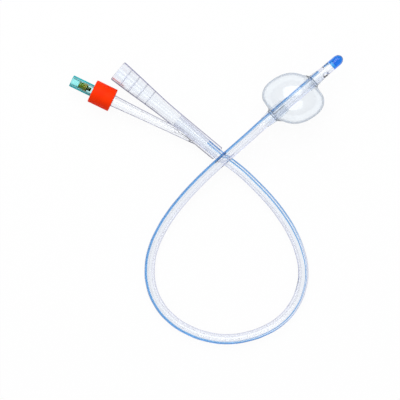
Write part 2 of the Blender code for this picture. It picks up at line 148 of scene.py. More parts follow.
STEM_DARK_TO = 0.45  # past the head's back
DARK_INSIDE = 0.07  # in from the flange's rim
SLEEVE_SIDES = 96
HOUSING_SIDES = 72
BASE_SIDES = 48
PLUNGER_SIDES = 56

# The balloon and the tip
BALLOON_R = 14.1
BALLOON_HALF_L = 13.4
BALLOON_POWER = 2.4
BALLOON_WALL = 0.4
BALLOON_STEPS = 48
BALLOON_SIDES = 96
BALLOON_LEAN = 0.8
BALLOON_SWAY = 2.0
LEAN_FROM_R = 3.8
LEAN_FULL_R = 7.8
NEAR_CUFF_START = -19.5
NEAR_CUFF_FULL = -15.2
NEAR_CUFF_END = -5.5
NEAR_CUFF_R = 3.4
FAR_CUFF_END = 9.6
FAR_CUFF_FULL = 16.2
FAR_CUFF_STOP = 18.6
FAR_CUFF_R = 3.15
CUFF_LIP = 0.08
CUFF_SHOULDER = [(0.9, 0.03), (0.3, 0.25), (-0.1, 0.7)]  # past the balloon's end, above the cuff
SHOULDER_TOP = 1.4
SHOULDER_TOP_INSIDE = 0.2
TIP_FROM = 25.75
TIP_NOSE_FROM = 29.6
TIP_TO = 32.9
TIP_HOLLOW_L = 2.2
TIP_HOLLOW_R = 1.3
TIP_HOLLOW_BLUNT = 0.8
TIP_HOLLOW_STEPS = 8
TIP_NOSE_STEPS = 14
TIP_SIDES = 56

# How the catheter lies: its route is x, y, height of its middle, turn of the coloured line
OBJECT_MIDDLE = (0.43, -2.5)
LYING = SHAFT_R + 0.01
SLEEVE_BACK = 59.2
CONNECTOR_DROP = math.degrees(math.asin((SLEEVE_R - TRUNK_R) / SLEEVE_BACK))
BALLOON_AT = (11.8, 46.5, BALLOON_R + 0.05)
BALLOON_HEADING = 80.2
BALLOON_RISE = 4.0
ROUTE = [
    (5.5, 0.3, 3.7, 140),
    (15.0, 0.7, 3.35, 139),
    (25.0, 0.1, 3.0, 139),
    (36.0, -1.2, 2.75, 138),
    (46.5, -3.5, LYING, 138),
    (56.0, -6.8, LYING, 134),
    (65.0, -11.6, LYING, 129),
    (73.0, -18.3, LYING, 120),
    (78.3, -26.8, LYING, 108),
    (80.8, -36.2, LYING, 95),
    (80.5, -45.6, LYING, 83),
    (77.7, -54.3, LYING, 73),
    (72.7, -62.8, LYING, 66),
    (65.8, -70.4, LYING, 61),
    (57.1, -76.2, LYING, 58),
    (47.2, -79.9, LYING, 56),
    (36.6, -81.2, LYING, 55),
    (26.2, -79.4, LYING, 55),
    (17.1, -74.5, LYING, 55),
    (10.2, -67.3, LYING, 55),
    (5.6, -58.9, LYING, 55),
    (2.9, -49.5, 2.75, 55),
    (1.55, -39.8, 3.4, 55),
    (1.3, -30.0, 4.6, 55),
    (1.75, -20.3, 6.05, 56),
    (2.75, -10.5, 7.6, 58),
    (4.2, -0.5, 9.2, 60),
    (5.7, 9.0, 10.45, 62),
    (7.15, 18.2, 11.6, 64),
]
TURN_AT_CONNECTOR = 107
TURN_IN_CONNECTOR = 120
TURN_AT_FILL_START = 134
TURN_AT_MEETING = 136
TURN_AT_TRUNK = 140
TURN_AT_BALLOON = 65
STRAIGHT_LEAD = 2.0
STATION_SPACING = 1.0


# Axes of the pieces

def frame_matrix(at, turn, parent=None):
    made = Matrix.Translation(Vector(at) * MM)
    for letter, angle in reversed(list(zip("XYZ", turn))):
        made = made @ Matrix.Rotation(math.radians(angle), 4, letter)
    return parent @ made if parent else made


bench = frame_matrix((-OBJECT_MIDDLE[0], -OBJECT_MIDDLE[1], 0), (0, 0, 0))
connector_axis = frame_matrix((0, 0, TRUNK_R), (0, CONNECTOR_DROP, 0), bench)
arm_axis = frame_matrix((-ARM_APEX, 0, 0), (0, 0, 180 + ARM_ANGLE), connector_axis)
balloon_axis = frame_matrix(BALLOON_AT, (0, -BALLOON_RISE, BALLOON_HEADING), bench)


# Camera: straight down on the bench, turned as the photograph is

PIXEL = 0.5175
PICTURE_HALF_W = 200  # pixels
PICTURE_TURN = math.atan2(0.6388, 0.7694)
SENSOR_W = 36
CAMERA_H = 1.3
SCALE_H = 0.005  # height at which a pixel is PIXEL wide, in metres as the camera's height
CAMERA_OVER = (0.00792, -0.02178)
camera_data = bpy.data.cameras.new("camera")
camera_data.sensor_width = SENSOR_W
camera_data.lens = SENSOR_W / 2 * (CAMERA_H - SCALE_H) / (PICTURE_HALF_W * PIXEL * MM)
camera_data.clip_start = 0.01
camera = bpy.data.objects.new("camera", camera_data)
camera.location = (*CAMERA_OVER, CAMERA_H)
camera.rotation_euler = (0, 0, PICTURE_TURN)
bpy.context.scene.collection.objects.link(camera)
bpy.context.scene.camera = camera


# Parts of node trees

def node(tree, kind, **settings):
    made = tree.nodes.new(kind)
    for key, value in settings.items():
        if key in made.inputs:
            made.inputs[key].default_value = value
        else:
            setattr(made, key, value)
    return made


def fed(tree, made, values):
    """The first output of a node whose inputs get sockets or numbers in order."""
    for socket, value in zip(made.inputs, values):
        if isinstance(value, (int, float)):
            socket.default_value = value
        else:
            tree.links.new(value, socket)
    return made.outputs[0]


def maths(tree, operation, a, b):
    return fed(tree, node(tree, "ShaderNodeMath", operation=operation), (a, b))


def combined(tree, x=0.0, y=0.0, z=0.0):
    return fed(tree, node(tree, "ShaderNodeCombineXYZ"), (x, y, z))


def ramp(tree, source, band, first, last):
    """A colour that is `first` up to the band and becomes `last` over it."""
    made = node(tree, "ShaderNodeValToRGB")
    for element, place, colour in zip(made.color_ramp.elements, band, (first, last)):
        element.position = place
        element.color = (*colour, 1)
    tree.links.new(source, made.inputs["Fac"])
    return made.outputs["Color"]


def spread(tree, source, low, high, start=0.0, stop=1.0):
    """The source's run from `start` to `stop` as a run from `low` to `high`."""
    made = node(tree, "ShaderNodeMapRange")
    for label, value in zip(("From Min", "From Max", "To Min", "To Max"), (start, stop, low, high)):
        made.inputs[label].default_value = value
    tree.links.new(source, made.inputs["Value"])
    return made.outputs["Result"]


# Materials

CLEAR_GRAIN = (120, 0.0005)  # scale of the unevenness, its height in millimetres
SOLID_GRAIN = (700, 0.01)
MOTTLE_SCALE = 210
MOTTLE_BAND = (0.3, 0.7)
SILICONE_IOR = 1.41
CLEAR_GLOSS = 0.05
SOLID_GLOSS = 0.06
ROUGHEST = 1.2  # a clear body's roughest spots, as a multiple of its smoothest
WHITE = (1, 1, 1)


def new_material(name):
    made = bpy.data.materials.new(name)
    made.use_nodes = True
    return made, made.node_tree, made.node_tree.nodes["Principled BSDF"]


def noise(tree, scale):
    """Fine unevenness that stays put on the piece."""
    place = node(tree, "ShaderNodeTexCoord")
    made = node(tree, "ShaderNodeTexNoise", Scale=scale, Detail=1.0)
    tree.links.new(place.outputs["Object"], made.inputs["Vector"])
    return made.outputs["Fac"]


def uneven(tree, shader, grain, low, high):
    """Bump and roughness from the same fine noise, as on moulded or dipped silicone."""
    scale, height = grain
    source = noise(tree, scale)
    bump = node(tree, "ShaderNodeBump", Strength=1.0, Distance=height * MM)
    tree.links.new(source, bump.inputs["Height"])
    tree.links.new(bump.outputs["Normal"], shader.inputs["Normal"])
    tree.links.new(spread(tree, source, low, high), shader.inputs["Roughness"])


def clear(
    name, band, painted_rim_shade, middle=WHITE, painted_rim_opacity=0.0, rough=0.03, tint=WHITE, density=0, ior=SILICONE_IOR
):
    """A clear body. Over the band from face on (0) to grazing (1) its colour goes from the
    face-on colour to the rim colour, a painted shade that draws a dark outline by the angle at
    which the surface is seen. The rim's opaque share is how much of that painted outline isn't
    seen through. `tint` and `density` are what the body absorbs, and are left out for faces
    inside a body, so that its own absorption runs on."""
    made, tree, shader = new_material(name)
    shader.inputs["Transmission Weight"].default_value = 1
    shader.inputs["IOR"].default_value = ior
    shader.inputs["Specular IOR Level"].default_value = CLEAR_GLOSS
    uneven(tree, shader, CLEAR_GRAIN, rough, rough * ROUGHEST)
    # Painted shade: towards grazing angles the colour darkens and the body stops being seen through.
    facing = node(tree, "ShaderNodeLayerWeight", Blend=0.5).outputs["Facing"]
    tree.links.new(ramp(tree, facing, band, middle, painted_rim_shade), shader.inputs["Base Color"])
    if painted_rim_opacity:
        left = (1 - painted_rim_opacity,) * 3
        seen_through = ramp(tree, facing, band, WHITE, left)
        tree.links.new(seen_through, shader.inputs["Transmission Weight"])
    if density:
        absorb = node(tree, "ShaderNodeVolumeAbsorption", Density=density)
        absorb.inputs["Color"].default_value = (*tint, 1)
        tree.links.new(absorb.outputs["Volume"], tree.nodes["Material Output"].inputs["Volume"])
    return made


def solid(name, colour, darker, low, high):
    """A body that isn't seen through, mottled between two colours."""
    made, tree, shader = new_material(name)
    mottle = ramp(tree, noise(tree, MOTTLE_SCALE), MOTTLE_BAND, darker, colour)
    tree.links.new(mottle, shader.inputs["Base Color"])
    uneven(tree, shader, SOLID_GRAIN, low, high)
    shader.inputs["Specular IOR Level"].default_value = SOLID_GLOSS
    return made


# Each clear body's rim colour below is painted shade, a dark outline; the punched, bore and ring finishes
# paint such outlines on the eyes' cuts, the bores' walls and the rings.
tube_silicone = clear(
    "tube_silicone", (0.3, 0.78), (0.34, 0.31, 0.56), (0.99, 0.995, 1.0),
    painted_rim_opacity=0.12, tint=(0.4, 0.6, 1.0), density=40,
)
punched_silicone = clear(
    "punched_silicone", (0.5, 0.95), (0.7, 0.7, 0.85), painted_rim_opacity=0.2, rough=0.5,
)
moulded_silicone = clear(
    "moulded_silicone", (0.33, 0.68), (0.14, 0.14, 0.3), (0.99, 0.99, 1.0),
    painted_rim_opacity=0.75, tint=(0.3, 0.62, 1.0), density=16,
)
bore_silicone = clear(
    "bore_silicone", (0.6, 0.97), (0.4, 0.4, 0.6), painted_rim_opacity=0.4,
)
# The rings are also painted grey face on, painted shade that makes them stand out.
ring_silicone = clear(
    "ring_silicone", (0.25, 0.7), (0.11, 0.11, 0.27), (0.76, 0.76, 0.86), painted_rim_opacity=0.8,
)
balloon_silicone = clear(
    "balloon_silicone", (0.6, 0.95), (0.08, 0.21, 0.42), (0.988, 0.996, 1.0),
    painted_rim_opacity=0.5, rough=0.07, tint=(0.35, 0.65, 1.0), density=100,
)
blue_line = clear(
    "blue_line", (0.4, 0.9), WHITE, rough=0.1, tint=(0.0, 0.55, 0.88), density=2500, ior=1.0,
)
blue_tip = clear(
    "blue_tip", (0.3, 0.8), (0.0, 0.3, 0.85),
    painted_rim_opacity=0.35, rough=0.1, tint=(0.0, 0.66, 0.96), density=1000,
)
teal_plastic = clear(
    "teal_plastic", (0.12, 0.42), (0.0, 0.48, 0.52),
    painted_rim_opacity=0.7, rough=0.06, tint=(0.0, 0.88, 0.88), density=520, ior=1.2,
)
orange_silicone = solid("orange_silicone", (0.96, 0.036, 0.0), (0.90, 0.027, 0.0), 0.45, 0.6)
olive_rubber = solid("olive_rubber", (0.58, 0.34, 0.03), (0.48, 0.28, 0.02), 0.4, 0.5)
# A darker colour for the plunger's stem and the back of its flange.
dark_rubber = solid("dark_rubber", (0.08, 0.10, 0.03), (0.05, 0.07, 0.02), 0.4, 0.5)


# Meshes

SMOOTH_ANGLE = math.radians(35)
CORNER_ANGLE = 0.35  # radians; an outline's gentler turns aren't rounded
CORNER_SHARE = 0.45  # of a side's length, the most that a rounded corner takes
CORNER_STEPS = 4
EASE_STEPS = 6


def shown(name, mesh, finish):
    """A finished piece, shaded smooth except at real edges."""
    mesh.name = name
    mesh.materials.clear()
    mesh.materials.append(finish)
    mesh.shade_smooth()
    mesh.set_sharp_from_angle(angle=SMOOTH_ANGLE)
    return scratch(name, mesh)


def finish_faces(thing, finish, axis, start, end, outer, inner=0.0):
    """Another finish on the faces between two places along an axis and two radii from it."""
    finishes = thing.data.materials
    if finishes.find(finish.name) < 0:
        finishes.append(finish)
    back = axis.inverted()
    for face in thing.data.polygons:
        place = back @ face.center / MM
        from_axis = math.hypot(place.y, place.z)
        if start < place.x < end and inner <= from_axis < outer:
            face.material_index = finishes.find(finish.name)


def scratch(name, data):
    thing = bpy.data.objects.new(name, data)
    bpy.context.scene.collection.objects.link(thing)
    return thing


def as_mesh(thing):
    """The plain mesh of an object with its modifiers, and the object removed."""
    bpy.context.view_layer.update()
    graph = bpy.context.evaluated_depsgraph_get()
    mesh = bpy.data.meshes.new_from_object(thing.evaluated_get(graph))
    bpy.data.objects.remove(thing)
    return mesh


def mesh_of(shape, name):
    """The mesh of a bmesh, which is freed."""
    mesh = bpy.data.meshes.new(name)
    shape.to_mesh(mesh)
    shape.free()
    return mesh


def outward_faces(mesh):
    work = bmesh.new()
    work.from_mesh(mesh)
    bmesh.ops.recalc_face_normals(work, faces=work.faces)
    work.to_mesh(mesh)
    work.free()
    return mesh


def lathe(profile, sides, axis, bulge=None):
    """A closed mesh turned about an axis's X from (along, radius) points in order."""
    shape = bmesh.new()
    rings = []
    for along, radius in profile:
        if radius <= 0:
            rings.append([shape.verts.new(axis @ (Vector((along, 0, 0)) * MM))])
            continue
        ring = []
        for i in range(sides):
            around = 2 * math.pi * i / sides
            point = Vector((along, radius * math.cos(around), radius * math.sin(around)))
            if bulge:
                bulge(point)
            ring.append(shape.verts.new(axis @ (point * MM)))
        rings.append(ring)
    pairs = list(zip(rings, rings[1:]))
    if profile[0][1] > 0:
        pairs.append((rings[-1], rings[0]))
    for low, high in pairs:
        for i in range(sides):
            j = (i + 1) % sides
            near, far = len(low), len(high)
            corners = [low[i % near], low[j % near], high[j % far], high[i % far]]
            kept = list(dict.fromkeys(corners))
            if len(kept) > 2:
                shape.faces.new(kept)
    bmesh.ops.recalc_face_normals(shape, faces=shape.faces)
    return mesh_of(shape, "lathe")


def rounded(profile, radius):
    """The same outline with its corners rounded."""
    made = [profile[0]]
    for before, corner, after in zip(profile, profile[1:], profile[2:]):
        a, b, c = Vector(before), Vector(corner), Vector(after)
        if (b - a).angle(c - b, 0) < CORNER_ANGLE:
            made.append(corner)
            continue
        start = b + (a - b).normalized() * min(radius, (a - b).length * CORNER_SHARE)
        end = b + (c - b).normalized() * min(radius, (c - b).length * CORNER_SHARE)
        for i in range(CORNER_STEPS + 1):
            t = i / CORNER_STEPS
            made.append(tuple((1 - t) ** 2 * start + 2 * t * (1 - t) * b + t * t * end))
    made.append(profile[-1])
    return made


def eased(points):
    """A smooth line through (along, radius) points."""
    made = []
    last = len(points) - 1
    for i in range(last):
        a, b = Vector(points[i]), Vector(points[i + 1])
        slope_a = (b - Vector(points[max(i - 1, 0)])) / (1 if i == 0 else 2)
        slope_b = (Vector(points[min(i + 2, last)]) - a) / (1 if i + 1 == last else 2)
        for step in range(EASE_STEPS):
            t = step / EASE_STEPS
            h = (2 * t**3 - 3 * t**2 + 1, t**3 - 2 * t**2 + t, -2 * t**3 + 3 * t**2, t**3 - t**2)
            made.append(tuple(h[0] * a + h[1] * slope_a + h[2] * b + h[3] * slope_b))
    made.append(tuple(points[-1]))
    return made


def quarter(steps):
    """Angles up to a right angle in even steps."""
    return [math.radians(90 * i / steps) for i in range(steps + 1)]


def cylinder(name, sides, radius, depth, matrix):
    """A scratch cylinder for cutting; its radius and depth are in metres."""
    shape = bmesh.new()
    bmesh.ops.create_cone(
        shape,
        cap_ends=True,
        segments=sides,
        radius1=radius,
        radius2=radius,
        depth=depth,
        matrix=matrix,
    )
    return scratch(name, mesh_of(shape, name))


def rod(start, end, radius, sides, axis):
    """A cylinder from one point to another."""
    a, b = Vector(start) * MM, Vector(end) * MM
    turn = (b - a).to_track_quat("Z", "Y").to_matrix().to_4x4()
    place = axis @ Matrix.Translation((a + b) / 2) @ turn
    return cylinder("rod", sides, radius * MM, (b - a).length, place)


def cut(thing, *others, operation="DIFFERENCE"):
    """The mesh of a Boolean of scratch objects, which are removed."""
    for i, other in enumerate(others):
        step = thing.modifiers.new(f"{operation}_{i}", "BOOLEAN")
        step.operation = operation
        step.solver = "EXACT"
        step.object = other
    mesh = as_mesh(thing)
    for other in others:
        bpy.data.objects.remove(other)
    return mesh


# Geometry Nodes trees: an outline run along a route, and rings on a bore's wall

WELD = 0.002  # millimetres


def tree_with(name, *sockets):
    """A Geometry Nodes tree whose inputs are geometry, then the sizes, then the finish."""
    tree = bpy.data.node_groups.new(name, "GeometryNodeTree")
    tree.interface.new_socket("Geometry", in_out="INPUT", socket_type="NodeSocketGeometry")
    for label, kind in sockets:
        tree.interface.new_socket(label, in_out="INPUT", socket_type="NodeSocket" + kind)
    tree.interface.new_socket("Finish", in_out="INPUT", socket_type="NodeSocketMaterial")
    tree.interface.new_socket("Geometry", in_out="OUTPUT", socket_type="NodeSocketGeometry")
    return tree, tree.nodes.new("NodeGroupInput")


def geometry_node(tree, kind):
    return tree.nodes.new("GeometryNode" + kind)


def end_tree(tree, start, geometry):
    real = geometry_node(tree, "RealizeInstances")
    finish = geometry_node(tree, "SetMaterial")
    end = tree.nodes.new("NodeGroupOutput")
    tree.links.new(geometry, real.inputs["Geometry"])
    tree.links.new(real.outputs["Geometry"], finish.inputs["Geometry"])
    tree.links.new(start.outputs["Finish"], finish.inputs["Material"])
    tree.links.new(finish.outputs["Geometry"], end.inputs["Geometry"])


def extrusion_tree():
    """A round outline, set off the axis and cut flat at its sides and below, run along a route.

    The outline's X is right of the way it runs and its Y is up where the route isn't turned."""
    sizes = [(label, "Float") for label in ("Radius", "Right", "Up", "Half Width", "Lowest")]
    tree, start = tree_with("extruded_along_route", ("Sides", "Int"), *sizes)
    wire = tree.links.new
    given = start.outputs
    circle = geometry_node(tree, "CurvePrimitiveCircle")
    wire(given["Sides"], circle.inputs["Resolution"])
    wire(given["Radius"], circle.inputs["Radius"])
    split = tree.nodes.new("ShaderNodeSeparateXYZ")
    wire(geometry_node(tree, "InputPosition").outputs[0], split.inputs[0])
    narrow = maths(tree, "MINIMUM", split.outputs["X"], given["Half Width"])
    narrow = maths(tree, "MAXIMUM", narrow, maths(tree, "MULTIPLY", given["Half Width"], -1.0))
    above = maths(tree, "MAXIMUM", split.outputs["Y"], given["Lowest"])
    right = maths(tree, "ADD", narrow, given["Right"])
    down = maths(tree, "MULTIPLY", maths(tree, "ADD", above, given["Up"]), -1.0)
    outline = geometry_node(tree, "SetPosition")
    wire(circle.outputs["Curve"], outline.inputs["Geometry"])
    wire(combined(tree, right, down), outline.inputs["Position"])
    extrude = geometry_node(tree, "CurveToMesh")
    extrude.inputs["Fill Caps"].default_value = True
    wire(given["Geometry"], extrude.inputs["Curve"])
    wire(outline.outputs["Geometry"], extrude.inputs["Profile Curve"])
    wire(geometry_node(tree, "InputRadius").outputs["Radius"], extrude.inputs["Scale"])
    weld = geometry_node(tree, "MergeByDistance")
    weld.inputs["Distance"].default_value = WELD * MM
    wire(extrude.outputs["Mesh"], weld.inputs["Geometry"])
    end_tree(tree, start, weld.outputs["Geometry"])
    return tree


def rings_tree():
    """Rings one behind another along X, on the wall of a bore that narrows at an even slope."""
    labels = ("First", "Pitch", "Bore Radius", "Slope", "Height", "Half Width")
    sizes = [(label, "Float") for label in labels]
    tree, start = tree_with("rings_in_funnel", ("Count", "Int"), ("Sides", "Int"), *sizes)
    wire = tree.links.new
    given = start.outputs
    places = geometry_node(tree, "MeshLine")
    wire(given["Count"], places.inputs["Count"])
    wire(combined(tree, given["First"]), places.inputs["Start Location"])
    wire(combined(tree, given["Pitch"]), places.inputs["Offset"])
    hoop = geometry_node(tree, "CurvePrimitiveCircle")
    wire(given["Sides"], hoop.inputs["Resolution"])
    wire(given["Bore Radius"], hoop.inputs["Radius"])
    bead = geometry_node(tree, "CurvePrimitiveCircle")
    bead.inputs["Resolution"].default_value = BEAD_SIDES
    bead.inputs["Radius"].default_value = 1.0
    shape = geometry_node(tree, "Transform")
    wire(bead.outputs["Curve"], shape.inputs["Geometry"])
    wire(combined(tree, given["Height"], given["Half Width"], 1.0), shape.inputs["Scale"])
    ring = geometry_node(tree, "CurveToMesh")
    wire(hoop.outputs["Curve"], ring.inputs["Curve"])
    wire(shape.outputs["Geometry"], ring.inputs["Profile Curve"])
    across = geometry_node(tree, "Transform")
    across.inputs["Rotation"].default_value = (0, math.pi / 2, 0)
    wire(ring.outputs["Mesh"], across.inputs["Geometry"])
    many = geometry_node(tree, "InstanceOnPoints")
    wire(places.outputs["Mesh"], many.inputs["Points"])
    wire(across.outputs["Geometry"], many.inputs["Instance"])
    index = geometry_node(tree, "InputIndex").outputs[0]
    behind = maths(tree, "MULTIPLY", index, given["Pitch"])
    less = maths(tree, "MULTIPLY", behind, given["Slope"])
    radius = maths(tree, "SUBTRACT", given["Bore Radius"], less)
    share = maths(tree, "DIVIDE", radius, given["Bore Radius"])
    wire(combined(tree, 1.0, share, share), many.inputs["Scale"])
    end_tree(tree, start, many.outputs["Instances"])
    return tree


def set_inputs(modifier, **values):
    for item in modifier.node_group.interface.items_tree:
        if item.item_type == "SOCKET" and item.in_out == "INPUT":
            key = item.name.replace(" ", "_").lower()
            if key in values:
                modifier[item.identifier] = values[key]


extruded_along_route = extrusion_tree()
rings_in_funnel = rings_tree()


def extruded(line, finish, radius, sides, right=0.0, up=0.0, half_width=9.0, lowest=-9.0):
    """A closed mesh along stations of (place, turn, scale); its sizes are in millimetres."""
    curve = bpy.data.curves.new("route", "CURVE")
    curve.dimensions = "3D"
    curve.twist_mode = "Z_UP"
    spline = curve.splines.new("POLY")
    spline.points.add(len(line) - 1)
    for point, (at, turn, scale) in zip(spline.points, line):
        point.co = (*at, 1)
        point.tilt = math.radians(-turn)
        point.radius = scale
    thing = scratch("route", curve)
    modifier = thing.modifiers.new("extrude", "NODES")
    modifier.node_group = extruded_along_route
    set_inputs(
        modifier,
        sides=sides,
        radius=radius * MM,
        right=right * MM,
        up=up * MM,
        half_width=half_width * MM,
        lowest=lowest * MM,
        finish=finish,
    )
    return outward_faces(as_mesh(thing))


# The route

def connector_point(back, turn, scale):
    drop = math.radians(CONNECTOR_DROP)
    return (-back * math.cos(drop), 0, TRUNK_R + back * math.sin(drop), turn, scale)


def balloon_point(along):
    heading = math.radians(BALLOON_HEADING)
    rise = math.radians(BALLOON_RISE)
    flat = along * math.cos(rise)
    return (
        BALLOON_AT[0] + flat * math.cos(heading),
        BALLOON_AT[1] + flat * math.sin(heading),
        BALLOON_AT[2] + along * math.sin(rise),
        TURN_AT_BALLOON,
        1,
    )


middle_stations = [
    connector_point(0, TURN_AT_TRUNK, 1),
    connector_point(-STRAIGHT_LEAD, TURN_AT_TRUNK, 1),
    *[(*point, 1) for point in ROUTE],
    balloon_point(NEAR_CUFF_START - STRAIGHT_LEAD),
    balloon_point(NEAR_CUFF_START),
]


def flared(flare, back):
    return 1 + (flare - 1) * (back - FLARE_END) / (SHAFT_DEPTH - FLARE_END)


def whole_route(flare, start, end):
    return [
        connector_point(start, TURN_AT_CONNECTOR, flared(flare, start)),
        connector_point(FLARE_MIDDLE, TURN_IN_CONNECTOR, flared(flare, FLARE_MIDDLE)),
        connector_point(FLARE_END, TURN_AT_TRUNK, 1),
        *middle_stations,
        balloon_point(0),
        balloon_point(end),
    ]


def fine_line(stations):
    """Close stations of (place, turn, scale) on the smooth curve through the given ones."""
    guide = bpy.data.curves.new("guide", "CURVE")
    guide.dimensions = "3D"
    spline = guide.splines.new("BEZIER")
    spline.bezier_points.add(len(stations) - 1)
    for point, (x, y, z, turn, scale) in zip(spline.bezier_points, stations):
        point.co = Vector((x - OBJECT_MIDDLE[0], y - OBJECT_MIDDLE[1], z)) * MM
        point.handle_left_type = "AUTO"
        point.handle_right_type = "AUTO"
    thing = scratch("guide", guide)
    bpy.context.view_layer.update()
    made = []
    knots = list(spline.bezier_points)
    for i in range(len(knots) - 1):
        a, b = knots[i], knots[i + 1]
        steps = max(2, math.ceil((b.co - a.co).length / (STATION_SPACING * MM)))
        line = interpolate_bezier(a.co, a.handle_right, b.handle_left, b.co, steps + 1)
        for step in range(steps):
            share = step / steps
            turn = stations[i][3] + (stations[i + 1][3] - stations[i][3]) * share
            scale = stations[i][4] + (stations[i + 1][4] - stations[i][4]) * share
            made.append((line[step].copy(), turn, scale))
    made.append((knots[-1].co.copy(), stations[-1][3], stations[-1][4]))
    bpy.data.objects.remove(thing)
    return made


# The shaft

def eye(along, turn):
    """A cutter for a drainage eye, an oval hole into the channel from one side."""
    place = balloon_axis @ Matrix.Translation((along * MM, 0, 0))
    place = place @ Matrix.Rotation(math.radians(turn), 4, "X")
    oval = Matrix.Diagonal((EYE_HALF_L, EYE_HALF_W, 1, 1))
    lifted = Matrix.Translation((0, 0, (EYE_BOTTOM + EYE_CUT_H / 2) * MM))
    return cylinder("eye", EYE_SIDES, MM, EYE_CUT_H * MM, place @ oval @ lifted)


shaft_line = fine_line(whole_route(FLARED_SHAFT, SHAFT_DEPTH, TIP_FROM - FIT))
drain_line = fine_line(whole_route(FLARED_DRAIN, SHAFT_DEPTH + CUT_PAST, TIP_FROM + CUT_PAST))
fill_line = fine_line([
    connector_point(FILL_START, TURN_AT_FILL_START, FILL_START_FLARE),
    connector_point(FLARE_END, TURN_AT_TRUNK, 1),
    *middle_stations,
    balloon_point(FILL_STOP),
])
shaft_start = scratch("shaft_start", extruded(shaft_line, tube_silicone, SHAFT_R, SHAFT_SIDES))
drain = scratch("drain", extruded(drain_line, tube_silicone, DRAIN_R, DRAIN_SIDES))
fill_angle = math.radians(FILL_FROM_STRIPE)
fill_mesh = extruded(
    fill_line,
    tube_silicone,
    FILL_R,
    FILL_SIDES,
    right=FILL_OFF_AXIS * math.sin(fill_angle),
    up=FILL_OFF_AXIS * math.cos(fill_angle),
)
fill = scratch("fill", fill_mesh)
fill_turn = math.radians(FILL_FROM_STRIPE - TURN_AT_BALLOON)
outward = Vector((0, -math.sin(fill_turn), math.cos(fill_turn)))
fill_hole = rod(
    outward * FILL_HOLE_FROM,
    outward * (SHAFT_R + CUT_PAST),
    FILL_HOLE_R,
    FILL_HOLE_SIDES,
    balloon_axis,
)
stripe_eye = eye(STRIPE_EYE_AT, TURN_AT_BALLOON)
far_eye = eye(FAR_EYE_AT, TURN_AT_BALLOON + 180)
shaft = shown(
    "clear_tube", cut(shaft_start, drain, fill, fill_hole, stripe_eye, far_eye), tube_silicone
)
finish_faces(
    shaft,
    punched_silicone,
    balloon_axis,
    STRIPE_EYE_AT - EYE_HALF_L,
    FAR_EYE_AT + EYE_HALF_L,
    outer=SHAFT_R - NEAR_WALL,
    inner=DRAIN_R + NEAR_WALL,
)


def stripe_along(name, line):
    mesh = extruded(
        line,
        blue_line,
        SHAFT_R - STRIPE_GAP,
        STRIPE_SIDES,
        half_width=STRIPE_HALF_W,
        lowest=STRIPE_BOTTOM,
    )
    return shown(name, mesh, blue_line)


eye_clear = EYE_HALF_L + 2 * STRIPE_GAP
stripe_route = whole_route(FLARED_SHAFT, SHAFT_DEPTH - STRIPE_GAP, STRIPE_EYE_AT - eye_clear)
stripe = stripe_along("blue_line", fine_line(stripe_route)[STRIPE_UNSEEN:])
end_route = [balloon_point(STRIPE_EYE_AT + eye_clear), balloon_point(TIP_FROM - FIT - STRIPE_GAP)]
stripe_end = stripe_along("blue_line_end", fine_line(end_route))


# The tip, with the end of the drainage channel in it

tip_profile = [(TIP_FROM + TIP_HOLLOW_L, 0)]
for around in quarter(TIP_HOLLOW_STEPS)[1:]:
    back = TIP_HOLLOW_R * (1 - math.cos(around)) * TIP_HOLLOW_BLUNT
    tip_profile.append((TIP_FROM + TIP_HOLLOW_L - back, TIP_HOLLOW_R * math.sin(around)))
tip_profile += [(TIP_FROM, TIP_HOLLOW_R), (TIP_FROM, SHAFT_R)]
for around in quarter(TIP_NOSE_STEPS):
    along = TIP_NOSE_FROM + (TIP_TO - TIP_NOSE_FROM) * math.sin(around)
    tip_profile.append((along, SHAFT_R * math.cos(around)))
tip_profile[-1] = (TIP_TO, 0)
tip = shown("rounded_tip", lathe(tip_profile, TIP_SIDES, balloon_axis), blue_tip)


# The balloon

def balloon_radius(along, half_l, radius):
    share = min(abs(along) / half_l, 1)
    return radius * (1 - share**BALLOON_POWER) ** (1 / BALLOON_POWER)


def balloon_side(half_l, radius, low_r, high_r):
    """The swell's outline from one radius over its full width to another."""
    first = -half_l * (1 - (low_r / radius) ** BALLOON_POWER) ** (1 / BALLOON_POWER)
    last = half_l * (1 - (high_r / radius) ** BALLOON_POWER) ** (1 / BALLOON_POWER)
    start, stop = math.asin(first / half_l), math.asin(last / half_l)
    turns = [start + (stop - start) * i / BALLOON_STEPS for i in range(BALLOON_STEPS + 1)]
    places = [half_l * math.sin(turn) for turn in turns]
    return [(along, balloon_radius(along, half_l, radius)) for along in places]


def leaning(point):
    """The swell's left side goes back and its tip end to the right; its cuffs stay straight."""
    share = (math.hypot(point.y, point.z) - LEAN_FROM_R) / (LEAN_FULL_R - LEAN_FROM_R)
    share = min(max(share, 0), 1)
    share = share * share * (3 - 2 * share)
    back = BALLOON_LEAN * share * point.y / BALLOON_R
    right = BALLOON_SWAY * share * point.x / BALLOON_HALF_L
    point.x -= back
    point.y -= right


